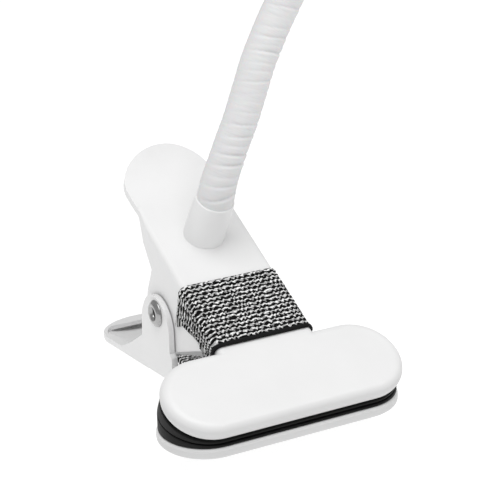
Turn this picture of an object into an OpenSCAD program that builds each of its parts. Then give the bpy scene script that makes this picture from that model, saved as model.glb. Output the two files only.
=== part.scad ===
// Clip on reading lamp: a sprung two-arm clip with rubber-faced jaws, a knitted elastic
// band round its neck, a flexible gooseneck and a rechargeable lamp head.
// Axes: X along the hinge pin, jaws towards -Y, handles towards +Y, Z up.
// Origin: middle of the lower jaw plate's flat underside.

/* [Jaws] */
// Width of both jaw plates along the hinge axis
jaw_w = 84; // [78:1:96]
// Front-to-back depth of the lower jaw plate
low_d = 31.3; // [30:0.1:33]
// Thickness of the lower jaw plate
low_t = 3.7; // [3.2:0.1:4.4]
// Edge radius of the lower jaw plate
low_edge = 1.3; // [0.8:0.1:1.5]
// Front-to-back depth of the upper jaw plate
up_d = 30.1; // [29:0.1:31]
// Thickness of the upper jaw plate, whose edge is fully round
up_t = 6.6; // [6:0.1:7]
// Slope of the upper arm when the jaws are closed
up_slope = 25.2; // [24:0.1:26]
// Distance the upper plate's middle sits in front of the lower plate's middle
up_fwd = 3.1; // [2.5:0.1:3.5]
// Height of the upper plate's middle
up_z = 14.7; // [14:0.1:15.5]

/* [Upper arm] */
// Half width of the upper arm
arm_hw = 16.6; // [16:0.1:17]
// Radius along the arm's two top edges
arm_edge = 2.2; // [2:0.1:4]
// Extra half width of the arm at its top, which tapers away down the sides
arm_draft = 0.8; // [0:0.1:1]
// Thickness of the arm's top skin
arm_skin = 2.6; // [2.2:0.1:3]
// Thickness of the side skirts
skirt_t = 2.2; // [1.8:0.1:2.6]
// Distance along the arm at which the thumb paddle starts to curl up
curl_start = 82; // [80:1:84]
// Distance along the arm at which the thumb paddle ends
paddle_end = 104; // [102:0.5:107]
// Radius of the paddle's curl
curl_r = 38; // [34:1:60]

/* [Lower arm] */
// Outside half width of the ears and the lower handle
ear_hw = 19; // [18.8:0.1:20]
// Thickness of the ears
ear_t = 1.9; // [1.7:0.1:1.9]
// Downward slope of the lower handle
low_slope = 7.6; // [7:0.1:8]
// Length of the lower handle behind the bend
handle_l = 76; // [74:1:80]
// Height of the rim round the lower handle
rim_h = 1.6; // [1.5:0.1:2]

/* [Hinge] */
// Distance of the hinge pin behind the lower plate's middle
pin_y = 51.5; // [51:0.1:52]
// Height of the hinge pin
pin_z = 20.9; // [20.7:0.1:21.2]
// Radius of the hollow rivet's shank
pin_r = 2.5; // [2.2:0.1:2.7]
// Radius of the rivet's domed heads
rivet_head_r = 4.7; // [4.5:0.1:5]

/* [Gooseneck] */
// Distance of the gooseneck's collar along the upper arm
collar_s = 64.2; // [62:0.1:66]
// Lean of the collar from square to the arm, towards +X
collar_lean = 4; // [2:0.5:5]
// Radius of the collar at its foot
collar_r = 7.1; // [6.9:0.1:7.5]
// Radius of the collar at its rim
rim_r = 6.7; // [6.6:0.1:7]
// Height of the collar
collar_h = 16.2; // [15:0.1:16.5]
// Radius of the silicone sleeve
sleeve_r = 5.9; // [5.5:0.1:6]
// Radius of the steel core
core_r = 3.9; // [3.5:0.1:4]
// Length of one bending step of the gooseneck
step_l = 48; // [44:1:52]

/* [Lamp head] */
// Length of the lamp head
head_l = 114; // [110:1:124]
// Width of the lamp head
head_w = 30; // [30:1:34]
// Thickness of the lamp head
head_t = 13; // [13:0.5:15]
// Wall thickness of the lamp head's covers
head_wall = 1.6; // [1.4:0.1:1.8]
// Number of light-emitting chips
chip_count = 14; // [8:1:16]

/* [Hidden] */
$fn = 72;
gap = 0.05;                         // running and assembly clearance
soft_gap = 0.12;                    // half the space between the closed rubber pads
up_top = up_t / 2;                  // height of the arm's top surface in the arm's frame
pin_s = (pin_y + up_fwd) * cos(up_slope) + (pin_z - up_z) * sin(up_slope);
pin_h = (pin_z - up_z) * cos(up_slope) - (pin_y + up_fwd) * sin(up_slope);
taper_z = -12;                      // where the arm's sides turn upright, in its own frame
rivet_bore = 1.5;                   // radius of the hollow through the rivet
skirt_r = 12.5;                     // reach of the skirts round the pin
skirt_bottom = up_top - 12.6;       // corner where the skirts' rear edge turns down
bend_y = 40;                        // where the lower handle starts to slope down
ear_front = 40.3;                   // front edge of the ears' foot
ear_c = [52.5, 16];                 // centre of the ears' round top
ear_r = 10.7;
ear_back = 64.5;                    // steep back edge of the ears
ear_in = ear_hw - ear_t;
gusset_h = 9.5;                     // height of the gusset behind the ears, above the rim
gusset_end = 84;                    // where the gusset runs out into the rim
neck_hw = 16.9;                     // outside half width of the lower arm's neck
neck_wall = 2.2;
neck_z0 = 1.3;                      // underside of the neck's floor, clear of the band
neck_z1 = 8.4;                      // top of the neck's walls
neck_floor = neck_z0 + 2;           // upper face of the neck's floor
root_y = 10;                        // how far the neck's floor reaches into the jaw plate
wall_y = low_d / 2 - 0.35;          // where the neck's walls start, behind the rubber pad
spoon_r = 52;                       // radius of the handle's bowed underside
spoon_sag = 3.9;                    // how far the bow drops below the rim's foot at the end
spoon_t = 1.5;                      // thickness of the handle's skin
spoon_low = 8;                      // depth below the rim's foot that holds the whole bow
rim_t = 1.5;                        // width of the handle's rim
rim_drop = 0.5;                     // how far the rim and ears reach below the handle's plane
lip_w = 7;                          // width of the flat lip at the handle's end
lip_t = 1.5;
band_t = 1;                         // thickness of the knitted band
band_s0 = 15.6;                     // front and back edges of the band on the upper arm
band_s1 = 43;
hem_w = 1.7;                        // width of the band's hem
peg_r = 2;                          // locating pegs of the rubber pads
peg_l = 1.6;
peg_x = jaw_w * 0.3;
pad_inset = 0.5;                    // step from the plates' edges in to the rubber pads
wedge_y = -up_fwd + up_top * sin(up_slope)
    - (up_z - up_top * cos(up_slope) - low_t) / tan(up_slope);
bend_gap = 2.8;                     // bare length each side of a bend in the sleeve
collar_x = 0.7;                     // the collar's offset to one side of the arm's middle
collar_out = 19.2;                  // first bend's distance from the arm, along the collar
collar_hole = 4.3;                  // radius of the hole for the collar's tail
socket_z = 1.5;                     // depth at which the steel core stops in the collar
neck_tilt = [21.5, 29, 43, 60, 78, 94];     // angle of each step from vertical
neck_turn = [2, 5, -20, -45, -66, -82];     // compass angle of each step, from +X
first_bend = arm_point(collar_s, up_top + collar_out * cos(collar_lean))
    + [collar_x + collar_out * sin(collar_lean), 0, 0];
head_in = 8;                        // where the head starts beyond the last bend step
ferrule_in = 5;                     // how far the core reaches into the ferrule
head_r = head_w / 2;
head_edge = 4;                      // rounding of the head's edges
lens_l = 84;
lens_w = 19;
lens_x = head_in + head_l / 2 + 1;
button_x = head_in + 20;
button_r = 5;
button_travel = 0.8;
plunger_h = 3.6;                    // height of the switch's plunger above its board
usb_x = head_in + 38;
usb_z = 0.85;
usb_w = 9;
usb_t = 3.2;
pilot_x = head_in + 32;             // charge indicator
tail_r = 2.6;                       // threaded tail of the neck's ferrule
nut_r = 4.2;                        // corner radius of the ferrule's nut
board_top = -0.8;                   // upper face of the control board
screw_x = [head_in + 11, head_in + head_l - 9];
screw_y = 7.6;
board_z = -3.2;                     // underside of the light board
wire_r = 0.9;                       // torsion spring wire
coil_r = 5.2;                       // torsion spring mean radius
coil_x = 8.5;                       // half length of the coil
coil_turns = 7;

// ---------- helpers ----------

// Points on an arc from angle a0 to a1 in n steps
function arc(c, r, a0, a1, n) =
    [for (i = [0:n]) let (a = a0 + (a1 - a0) * i / n) [c[0] + r * cos(a), c[1] + r * sin(a)]];

// A point at distance s along the upper arm and h above its middle plane
function arm_point(s, h) = [
    0,
    -up_fwd + s * cos(up_slope) - h * sin(up_slope),
    up_z + s * sin(up_slope) + h * cos(up_slope)
];

// Unit vector at angle tilt from vertical and compass angle turn
function heading(tilt, turn) = [sin(tilt) * cos(turn), sin(tilt) * sin(turn), cos(tilt)];

// Start point of gooseneck step i
function step_start(i) =
    i == 0 ? first_bend : step_start(i - 1) + step_l * heading(neck_tilt[i - 1], neck_turn[i - 1]);

module in_arm_frame() {
    translate([0, -up_fwd, up_z]) rotate([up_slope, 0, 0]) children();
}

// Frame of the gooseneck's collar: Z along it, from the arm's top surface
module in_collar_frame() {
    in_arm_frame() translate([collar_x, collar_s, up_top]) rotate([0, collar_lean, 0]) children();
}

module in_handle_frame() {
    translate([0, bend_y, 0]) rotate([-low_slope, 0, 0]) children();
}

module in_step_frame(i) {
    translate(step_start(i)) rotate([0, neck_tilt[i], neck_turn[i]]) children();
}

// Head frame: X along the head, Z away from the lit face
module in_head_frame() {
    translate(step_start(6)) rotate([0, neck_tilt[5], neck_turn[5]]) rotate([0, -90, 0]) children();
}

// Extrudes a (Y, Z) outline along X, centred
module across(w) {
    rotate([90, 0, 90]) linear_extrude(w, center = true) children();
}

// Extrudes an (X, Z) outline along Y from y0 to y1
module along(y0, y1) {
    translate([0, y1, 0]) rotate([90, 0, 0]) linear_extrude(y1 - y0) children();
}

// Half of a plate's cross-section, from its middle out to x = half, with rounded edges
function plate_half(half, t, r) =
    concat([[0, 0]], arc([half - r, r], r, -90, 0, 8), arc([half - r, t - r], r, 0, 90, 8), [[0, t]]);

// Stadium-shaped plate, long axis along X, resting on z = 0, with edges rounded to r
module stadium_plate(l, w, t, r) {
    half = w / 2;
    run = l / 2 - half;
    section = plate_half(half, t, r);
    mirrored = [for (i = [len(section) - 2:-1:1]) [-section[i][0], section[i][1]]];
    across(2 * run) polygon(concat(section, mirrored));
    for (side = [0, 180])
        rotate([0, 0, side]) translate([run, 0, 0]) rotate([0, 0, -90])
            rotate_extrude(angle = 180) polygon(section);
}

// Plain stadium outline, long axis along X
module stadium(l, w) {
    square([l - w, w], center = true);
    for (side = [-1, 1]) translate([side * (l - w) / 2, 0]) circle(d = w);
}

// Upside-down U section with rounded top corners and tapered sides, down to z = low
module arch_section(hw, top, r, low) {
    wide = hw + arm_draft;
    polygon(concat([[-hw, taper_z], [-hw, low], [hw, low], [hw, taper_z]],
        arc([wide - r, top - r], r, 0, 90, 8), arc([-wide + r, top - r], r, 90, 180, 8)));
}

// ---------- lower half of the clip ----------

// Plan of the lower handle in its own frame, inset all round
module handle_plan(inset) {
    r = ear_hw - inset;
    translate([-r, -3]) square([2 * r, handle_l - ear_hw + 3]);
    translate([0, handle_l - ear_hw]) circle(r);
}

// Long cylinder whose underside is the bow of the handle's skin
module spoon(r) {
    drop = atan(spoon_sag / handle_l);
    rotate([-drop, 0, 0]) translate([0, -20, spoon_r]) rotate([-90, 0, 0])
        cylinder(r = r, h = handle_l + 60, $fn = 120);
}

// Band of the handle's plan between the outside and the rim's inner edge
module rim_plan() {
    difference() {
        handle_plan(0);
        handle_plan(rim_t);
    }
}

// Bowed skin, rim and flat end lip of the lower handle
module handle() {
    in_handle_frame() {
        intersection() {
            translate([0, 0, -spoon_low]) linear_extrude(spoon_low + rim_h) handle_plan(0);
            difference() {
                spoon(spoon_r);
                spoon(spoon_r - spoon_t);
            }
        }
        difference() {
            translate([0, 0, -rim_drop]) linear_extrude(rim_h + rim_drop) rim_plan();
            translate([-ear_hw, -4, -2]) cube([2 * ear_hw, 24, rim_h + 4]);
        }
        intersection() {
            translate([0, 0, -spoon_low]) linear_extrude(spoon_low + 0.1) rim_plan();
            spoon(spoon_r);
            translate([-ear_hw, handle_l / 2, -spoon_low]) cube([2 * ear_hw, handle_l, 2 * spoon_low]);
        }
        intersection() {
            translate([0, 0, rim_h - lip_t]) linear_extrude(lip_t) handle_plan(0.4);
            translate([-ear_hw, handle_l - lip_w, -1]) cube([2 * ear_hw, lip_w, 6]);
        }
    }
}

// Height of the handle's rim at y, and how far the gusset has run out there, from 1 to 0
function rim_line(y) = rim_h - (y - bend_y) * tan(low_slope);
function gusset_left(y) = pow((gusset_end - y) / (gusset_end - ear_back), 1.15);

// Side view of an ear: round top, steep back edge and a gusset that sweeps into the rim
function ear_outline() =
    concat(
        [[ear_front, -rim_drop + 0.1], [ear_front, neck_z1], [ear_c[0] - ear_r, neck_z1 + 1.2]],
        arc(ear_c, ear_r, 180, 28, 16),
        [[ear_back - 0.7, ear_c[1] + 1.5]],
        [for (i = [0:8]) let (y = ear_back + (gusset_end - ear_back) * i / 8)
            [y, rim_line(y) + gusset_h * gusset_left(y)]],
        [[gusset_end, rim_line(gusset_end) - rim_h - rim_drop + 0.2]]
    );

module ears() {
    for (side = [-1, 1])
        translate([side * (ear_in + ear_t / 2), 0, 0]) across(ear_t) polygon(ear_outline());
}

// Channel between the jaw plate and the ears, with a block at its back that carries the ears
module lower_neck() {
    inner_hw = neck_hw - neck_wall;
    block_l = 2.7;
    difference() {
        union() {
            translate([-neck_hw, root_y, neck_z0])
                cube([2 * neck_hw, bend_y - root_y, neck_z1 - neck_z0]);
            translate([-ear_hw + 0.1, ear_front, 0]) cube([2 * ear_hw - 0.2, block_l, neck_z1]);
            translate([-neck_hw, bend_y - 0.3, 0]) cube([2 * neck_hw, 5.3, neck_floor]);
        }
        translate([-ear_hw, 0, neck_floor]) cube([2 * ear_hw, wall_y, neck_z1]);
        translate([-inner_hw, 0, neck_floor]) cube([2 * inner_hw, bend_y + 10, neck_z1]);
    }
}

module lower_arm() {
    color("white") difference() {
        union() {
            stadium_plate(jaw_w, low_d, low_t, low_edge);
            lower_neck();
            ears();
            handle();
        }
        translate([0, pin_y, pin_z]) rotate([0, 90, 0])
            cylinder(r = pin_r + 0.02, h = 3 * ear_hw, center = true);
        for (side = [-1, 1])
            translate([side * peg_x, 0, low_t - peg_l - 0.1]) cylinder(r = peg_r + gap, h = peg_l + 1);
    }
}

// Everything below the sloping plane half way between the two jaws, shifted by off
module under_mid_plane(off) {
    translate([0, wedge_y, low_t]) rotate([up_slope / 2, 0, 0])
        translate([-jaw_w, -jaw_w, off - jaw_w]) cube([2 * jaw_w, 3 * jaw_w, jaw_w]);
}

module lower_pad() {
    color("#1c1c1e") {
        intersection() {
            translate([0, 0, low_t]) linear_extrude(12)
                stadium(jaw_w - 2 * pad_inset, low_d - 2 * pad_inset);
            under_mid_plane(-soft_gap);
        }
        for (side = [-1, 1])
            translate([side * peg_x, 0, low_t - peg_l]) cylinder(r = peg_r, h = peg_l + 0.5);
    }
}

// Lower half of the knitted band, a U under the neck whose sides reach up towards the upper arm
module band_lower() {
    y1 = bend_y - 0.6;
    side_view = [[15.95, 0.2], [y1 - 2.9, 0.2], [y1 - 2.9, neck_z0 + 0.5], [y1, neck_z0 + 0.5], [y1, 8.3],
        [31, 12], [24, 15.4], [20, 15.9], [15.95, 14.9]];
    color("#8a8a8c") difference() {
        across(2 * (neck_hw + band_t)) polygon(side_view);
        translate([-neck_hw - 0.01, 10, neck_z0 - 0.01]) cube([2 * neck_hw + 0.02, 40, 40]);
    }
}

// Round bead of the rivet's hollow head, its axis along Z, rising from z = 0
module rivet_head() {
    middle = (rivet_head_r + rivet_bore) / 2;
    rotate_extrude() polygon(arc([middle, 0], rivet_head_r - middle, 0, 180, 16));
}

module hinge_rivet() {
    color("silver") translate([0, pin_y, pin_z]) rotate([0, -90, 0]) {
        difference() {
            translate([0, 0, -ear_hw]) cylinder(r = pin_r, h = 2 * ear_hw);
            translate([0, 0, -ear_hw - 1]) cylinder(r = rivet_bore, h = 2 * ear_hw + 2);
        }
        translate([0, 0, ear_hw]) rivet_head();
    }
}

module rivet_cap() {
    color("silver") translate([ear_hw, pin_y, pin_z]) rotate([0, 90, 0]) rivet_head();
}

module spring_bush() {
    bush_l = 2 * (arm_hw - skirt_t) - 1;
    color("gainsboro") translate([0, pin_y, pin_z]) rotate([0, 90, 0]) difference() {
        cylinder(r = coil_r - wire_r - 0.35, h = bush_l, center = true);
        cylinder(r = pin_r + gap, h = bush_l + 2, center = true);
    }
}

// Path of the torsion spring: lower leg, coil, upper leg, in round angles about the pin
low_leg_a = -46;
up_leg_a = up_slope + 45;
coil_a0 = low_leg_a + 90;
coil_a1 = up_leg_a - 90 + 360 * coil_turns;
function coil_point(a, x) = [x, pin_y + coil_r * cos(a), pin_z + coil_r * sin(a)];
function spring_path() =
    let (n = coil_turns * 14)
    concat(
        [for (k = [40, 20, 3]) coil_point(coil_a0, -coil_x) + k * [0, cos(low_leg_a), sin(low_leg_a)]],
        [for (i = [0:n]) coil_point(coil_a0 + (coil_a1 - coil_a0) * i / n, -coil_x + 2 * coil_x * i / n)],
        [for (k = [3, 14, 27.5]) coil_point(coil_a1, coil_x) + k * [0, cos(up_leg_a), sin(up_leg_a)]]
    );

// Sweeps a round wire with 8 sides along points that keep a side component along X
module wire(points, r) {
    n = len(points);
    rings = [for (i = [0:n - 1])
        let (
            t0 = points[min(i + 1, n - 1)] - points[max(i - 1, 0)],
            t = t0 / norm(t0),
            u0 = cross(t, [1, 0, 0]),
            u = u0 / norm(u0),
            v = cross(t, u)
        )
        for (k = [0:7]) points[i] + r * (cos(45 * k) * u + sin(45 * k) * v)];
    sides = [for (i = [0:n - 2], k = [0:7])
        [i * 8 + k, i * 8 + (k + 1) % 8, (i + 1) * 8 + (k + 1) % 8, (i + 1) * 8 + k]];
    polyhedron(rings, concat(sides, [[for (k = [7:-1:0]) k]], [[for (k = [0:7]) (n - 1) * 8 + k]]));
}

module torsion_spring() {
    color("silver") wire(spring_path(), wire_r);
}

// ---------- upper half of the clip ----------

// Side view of the upper arm: flat top, curled paddle, skirts that drop round the pin
function arm_outline() =
    let (
        curl = asin((paddle_end - curl_start) / curl_r),
        centre = [curl_start, up_top + curl_r]
    )
    concat(
        [[8, -up_top], [8, up_top]],
        arc(centre, curl_r, -90, -90 + curl, 12),
        arc(centre, curl_r + arm_skin, -90 + curl, -90, 12),
        [[81, up_top - arm_skin], [pin_s + skirt_r, skirt_bottom]],
        arc([pin_s, pin_h], skirt_r, 0, -140, 20),
        [[39, -24], [23, -6], [19.5, -up_top]]
    );

// Plan of the upper arm: straight neck, slight waist, rounded paddle
module arm_plan() {
    paddle_hw = arm_hw + 0.5;
    neck = arm_hw + arm_draft;
    polygon(concat(
        [[-neck, 8], [neck, 8], [neck, 70], [arm_hw - 0.4, 80]],
        [for (i = [0:20]) let (a = 180 * i / 20)
            [paddle_hw * cos(a), paddle_end - 13.5 + 13.5 * sin(a)]],
        [[-arm_hw + 0.4, 80], [-neck, 70]]
    ));
}

module upper_arm() {
    inner_hw = arm_hw - skirt_t;
    color("white") in_arm_frame() difference() {
        union() {
            translate([0, 0, -up_top]) stadium_plate(jaw_w, up_d, up_t, up_top - 0.01);
            intersection() {
                across(3 * arm_hw) polygon(arm_outline());
                translate([0, 0, -60]) linear_extrude(100) arm_plan();
                union() {
                    along(0, curl_start) arch_section(arm_hw, up_top, arm_edge, -60);
                    translate([-30, curl_start, -20]) cube([60, 60, 60]);
                }
            }
        }
        translate([-inner_hw, up_d / 2 + 1.5, -60]) cube([2 * inner_hw, 120, 60 + up_top - arm_skin]);
        translate([0, pin_s, pin_h]) rotate([0, 90, 0]) cylinder(r = pin_r + 0.06, h = 60, center = true);
        translate([collar_x, collar_s, -5]) cylinder(r = collar_hole, h = 20);
        for (side = [-1, 1])
            translate([side * peg_x, 0, -up_top - 1]) cylinder(r = peg_r + gap, h = peg_l + 1.1);
    }
}

module upper_pad() {
    color("#1c1c1e") {
        difference() {
            in_arm_frame() translate([0, 0, -up_top - 12]) linear_extrude(12)
                stadium(jaw_w - 2 * pad_inset, up_d - 2 * pad_inset);
            under_mid_plane(soft_gap);
        }
        in_arm_frame() for (side = [-1, 1])
            translate([side * peg_x, 0, -up_top - 0.5]) cylinder(r = peg_r, h = peg_l + 0.5);
    }
}

// Wrap over the upper arm's neck between s0 and s1, cut off below by a side view
module arm_wrap(s0, s1, t, side_view) {
    difference() {
        in_arm_frame() intersection() {
            difference() {
                along(s0, s1) arch_section(arm_hw + t, up_top + t, arm_edge + t, -40);
                along(s0 - 1, s1 + 1) arch_section(arm_hw, up_top, arm_edge, -41);
            }
            across(60) polygon(side_view);
        }
        translate([0, ear_c[0], ear_c[1]]) rotate([0, 90, 0])
            cylinder(r = ear_r + 0.5, h = 80, center = true);
    }
}

// Upper half of the knitted band: the sides stop at an arch that lets the skirts through
module band_upper() {
    side_view = concat(
        [[band_s0, 10], [band_s1 + 1, 10], [band_s1 + 1, -17.5], [42.5, -17.5], [41, -13.8]],
        [[38.3, -10.1], [34.3, -8.8], [29.4, -6.2], [26.4, -5.7], [24, -5.9], [band_s0, -4.9]]
    );
    color("#8a8a8c") arm_wrap(band_s0 + hem_w, band_s1, band_t, side_view);
}

module band_hem() {
    side_view = [[0, 10], [30, 10], [30, -5], [0, -4.8]];
    color("#1c1c1e") arm_wrap(band_s0, band_s0 + hem_w, band_t + 0.2, side_view);
}

// ---------- gooseneck ----------

// Leaning socket for the neck, with a straight tail down through the arm
module neck_collar() {
    recess = 6;
    tail_l = arm_skin + 6;
    color("white") difference() {
        union() {
            difference() {
                in_collar_frame() translate([0, 0, -1])
                    cylinder(r1 = collar_r, r2 = rim_r, h = collar_h + 1);
                in_arm_frame() translate([-20, collar_s - 20, up_top - 10]) cube([40, 40, 10]);
            }
            in_arm_frame() translate([collar_x, collar_s, up_top - tail_l])
                cylinder(r = collar_hole - gap, h = tail_l + 0.5);
        }
        in_collar_frame() translate([0, 0, socket_z]) cylinder(r = core_r + gap, h = collar_h);
        in_collar_frame() translate([0, 0, collar_h - recess])
            cylinder(r = sleeve_r + 0.25, h = recess + 1);
    }
}

// Washer or nut ring round the collar's tail, under the arm's skin
module tail_ring(r, top, h, sides) {
    color("silver") in_arm_frame() translate([collar_x, collar_s, up_top - arm_skin - top - h])
        difference() {
            cylinder(r = r, h = h, $fn = sides);
            translate([0, 0, -1]) cylinder(r = collar_hole, h = h + 2);
        }
}

module collar_washer() {
    tail_ring(7, 0, 1, $fn);
}

module collar_nut() {
    tail_ring(6.4, 1, 3.4, 6);
}

// Core end held in the collar, with a round tip at the first bend
module neck_core_base() {
    color("silver") in_collar_frame() {
        translate([0, 0, socket_z]) cylinder(r = core_r, h = collar_out - socket_z);
        translate([0, 0, collar_out]) sphere(core_r);
    }
}

// One step of the steel core: flat start clear of the tip before it, round tip at its end
module core_step(i) {
    last = i == 5;
    color("silver") in_step_frame(i) {
        translate([0, 0, core_r + 0.1])
            cylinder(r = core_r, h = step_l - core_r - 0.1 + (last ? ferrule_in : 0));
        if (!last) translate([0, 0, step_l]) sphere(core_r);
    }
}

// One step of the silicone sleeve, bare near the bends either side
module sleeve_step(i) {
    last = i == 5;
    color("whitesmoke") in_step_frame(i) difference() {
        translate([0, 0, bend_gap])
            cylinder(r = sleeve_r, h = step_l - bend_gap - (last ? 0.5 : bend_gap));
        cylinder(r = core_r + gap, h = step_l + 1);
    }
}

module neck_core_1() { core_step(0); }
module neck_core_2() { core_step(1); }
module neck_core_3() { core_step(2); }
module neck_core_4() { core_step(3); }
module neck_core_5() { core_step(4); }
module neck_core_6() { core_step(5); }
module neck_sleeve_1() { sleeve_step(0); }
module neck_sleeve_2() { sleeve_step(1); }
module neck_sleeve_3() { sleeve_step(2); }
module neck_sleeve_4() { sleeve_step(3); }
module neck_sleeve_5() { sleeve_step(4); }
module neck_sleeve_6() { sleeve_step(5); }

// ---------- lamp head ----------

module neck_ferrule() {
    saddle = 4;
    color("white") in_head_frame() difference() {
        union() {
            difference() {
                rotate([0, 90, 0]) cylinder(r = sleeve_r + 0.3, h = head_in + saddle);
                translate([-gap, 0, 0]) head_solid();
            }
            rotate([0, 90, 0]) cylinder(r = tail_r, h = head_in + 7);
        }
        translate([-0.5, 0, 0]) rotate([0, 90, 0]) cylinder(r = core_r + gap, h = ferrule_in + 0.7);
    }
}

module ferrule_nut() {
    color("silver") in_head_frame() translate([head_in + head_wall + 1, 0, 0]) rotate([0, 90, 0])
        difference() {
            cylinder(r = nut_r, h = 3, $fn = 6);
            translate([0, 0, -1]) cylinder(r = tail_r + gap, h = 5);
        }
}

// Outer body of the head, and the space inside it
module head_solid() {
    translate([head_in + head_l / 2, 0, -head_t / 2]) stadium_plate(head_l, head_w, head_t, head_edge);
}

module head_space() {
    translate([head_in + head_l / 2, 0, -head_t / 2 + head_wall])
        stadium_plate(head_l - 2 * head_wall, head_w - 2 * head_wall, head_t - 2 * head_wall,
            head_edge - head_wall);
}

module at_screws() {
    for (x = screw_x, side = [-1, 1]) translate([x, side * screw_y, 0]) children();
}

// Stadium-ended bar along Y at the charging inlet, from y0 outwards
module usb_bar(y0, l, w, t) {
    translate([usb_x, y0, usb_z]) rotate([-90, 0, 0]) linear_extrude(l) stadium(w, t);
}

module usb_opening() {
    usb_bar(head_r - 8, 12, usb_w + 0.3, usb_t + 0.3);
}

// Hollow ferrule hole in the head's end wall
module ferrule_hole() {
    translate([head_in - 2, 0, 0]) rotate([0, 90, 0]) cylinder(r = tail_r + gap, h = 8);
}

module head_cover() {
    color("white") in_head_frame() difference() {
        union() {
            difference() {
                head_solid();
                head_space();
            }
            intersection() {
                head_solid();
                at_screws() translate([0, 0, 0.05]) cylinder(r = 2.4, h = head_t / 2 - 0.5);
            }
        }
        translate([0, -head_w, -head_t]) cube([2 * head_l, 2 * head_w, head_t + 0.05]);
        at_screws() translate([0, 0, -1]) cylinder(r = 0.85, h = 5);
        translate([button_x, 0, 0]) cylinder(r = button_r + 0.1, h = head_t);
        translate([pilot_x, 0, 0]) cylinder(r = 1 + gap, h = head_t);
        usb_opening();
        ferrule_hole();
    }
}

module head_frame() {
    color("white") in_head_frame() difference() {
        union() {
            difference() {
                head_solid();
                head_space();
            }
            intersection() {
                head_solid();
                at_screws() translate([0, 0, -head_t / 2 + 0.5]) cylinder(r = 2.4, h = head_t / 2 - 0.55);
            }
        }
        translate([0, -head_w, -0.05]) cube([2 * head_l, 2 * head_w, head_t]);
        at_screws() translate([0, 0, -head_t]) cylinder(r = 1.1, h = head_t + 1);
        at_screws() translate([0, 0, -head_t / 2 - 1]) cylinder(r = 2, h = 2.4);
        translate([lens_x, 0, -head_t]) linear_extrude(head_t) stadium(lens_l + 0.2, lens_w + 0.2);
        usb_opening();
        ferrule_hole();
    }
}

// Opal lens: a step through the window and a flange that rests inside it
module diffuser() {
    color([0.95, 0.95, 0.92, 0.6]) in_head_frame() translate([lens_x, 0, -head_t / 2]) {
        translate([0, 0, 0.3]) linear_extrude(head_wall - 0.3) stadium(lens_l, lens_w);
        translate([0, 0, head_wall]) linear_extrude(0.8) stadium(lens_l + 3, lens_w + 3);
    }
}

module led_board() {
    color("ivory") in_head_frame() translate([lens_x, 0, board_z])
        linear_extrude(1.2) stadium(lens_l, lens_w - 1);
}

module led_chips() {
    per_row = ceil(chip_count / 2);
    pitch = (lens_l - 18) / (per_row - 1);
    color("khaki") in_head_frame() for (i = [0:per_row - 1], side = [-1, 1])
        translate([lens_x + (i - (per_row - 1) / 2) * pitch, side * 4.2, board_z - 0.4])
            cube([3.5, 2.8, 0.8], center = true);
}

module battery_cell() {
    color("lightsteelblue") in_head_frame() translate([head_in + head_l - 62, -10, -1.7]) cube([46, 20, 5]);
}

module control_board() {
    color("seagreen") in_head_frame() translate([head_in + 16, -10, board_top - 1]) cube([30, 23, 1]);
}

module switch_body() {
    color("dimgray") in_head_frame() translate([button_x, 0, board_top]) {
        translate([-3, -3, 0]) cube([6, 6, 3]);
        cylinder(r = 1.6, h = plunger_h);
    }
}

// Push cap with a flange that keeps it in the cover
module power_button() {
    cap_top = head_t / 2 + 0.6;
    flange_z = board_top + plunger_h + button_travel + 0.1;
    flange_top = head_t / 2 - head_wall - 0.1;
    color("gainsboro") in_head_frame() translate([button_x, 0, 0]) {
        translate([0, 0, flange_top]) cylinder(r = button_r, h = cap_top - flange_top);
        translate([0, 0, flange_z]) cylinder(r = button_r + 1, h = flange_top - flange_z);
    }
}

module usb_socket() {
    shell = 0.3;
    color("silver") in_head_frame() difference() {
        usb_bar(head_r - 7.6, 7.2, usb_w, usb_t);
        usb_bar(head_r - 6.6, 10, usb_w - 2 * shell, usb_t - 2 * shell);
    }
    color("black") in_head_frame() translate([usb_x - 3.3, head_r - 6.8, usb_z - 0.35])
        cube([6.6, 4.8, 0.7]);
}

module indicator_pipe() {
    foot = board_top + 0.1;
    color("lightgreen") in_head_frame() translate([pilot_x, 0, foot])
        cylinder(r = 1, h = head_t / 2 - foot);
}

// Four screws driven in from the lit face
module head_screws() {
    color("silver") in_head_frame() at_screws() translate([0, 0, -head_t / 2 + 0.2]) difference() {
        union() {
            cylinder(r = 1.9, h = 1.2);
            cylinder(r = 0.84, h = 9);
        }
        translate([0, 0, -0.1]) cylinder(r = 0.8, h = 0.8, $fn = 6);
    }
}

lower_arm();
lower_pad();
band_lower();
hinge_rivet();
rivet_cap();
spring_bush();
torsion_spring();
upper_arm();
upper_pad();
band_upper();
band_hem();
neck_collar();
collar_washer();
collar_nut();
neck_core_base();
neck_core_1();
neck_core_2();
neck_core_3();
neck_core_4();
neck_core_5();
neck_core_6();
neck_sleeve_1();
neck_sleeve_2();
neck_sleeve_3();
neck_sleeve_4();
neck_sleeve_5();
neck_sleeve_6();
neck_ferrule();
ferrule_nut();
head_cover();
head_frame();
diffuser();
led_board();
led_chips();
battery_cell();
control_board();
switch_body();
power_button();
usb_socket();
indicator_pipe();
head_screws();
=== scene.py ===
import math

import bmesh
import bpy
import numpy as np
from mathutils import Matrix, Vector


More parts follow.
